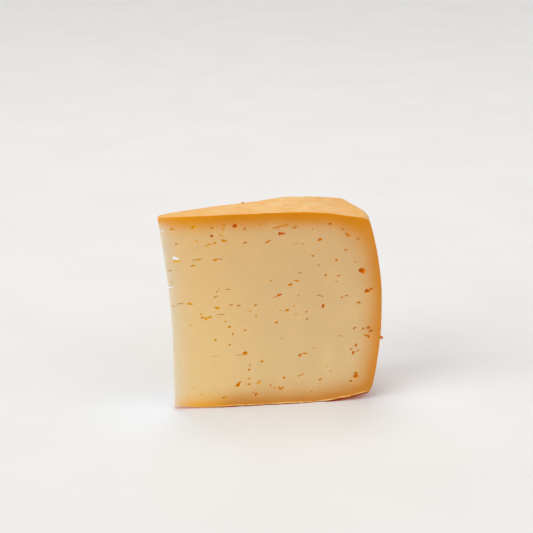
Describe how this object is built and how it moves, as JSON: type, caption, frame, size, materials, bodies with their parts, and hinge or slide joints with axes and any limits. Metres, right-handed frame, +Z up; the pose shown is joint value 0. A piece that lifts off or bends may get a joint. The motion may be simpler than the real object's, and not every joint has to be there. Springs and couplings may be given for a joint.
{
  "type": "cheese wedge",
  "caption": "Wedge of semi-hard cheese cut from a round wheel, with rind on its top, rim and underside and small eyes in its cut faces.",
  "frame": {"origin": "centre of the bounding box on the plane of the flat underside", "axes": "+X from the trimmed point to the rim along the wedge's middle plane, +Y across the wedge from the near cut to the far cut, +Z up"},
  "size_m": [0.1032, 0.0352, 0.095],
  "materials": {
    "cheese": "satin pale yellow paste with an orange-gold rind"
  },
  "bodies": {
    "root": {"cheese_wedge": "cheese"}
  },
  "joints": []
}
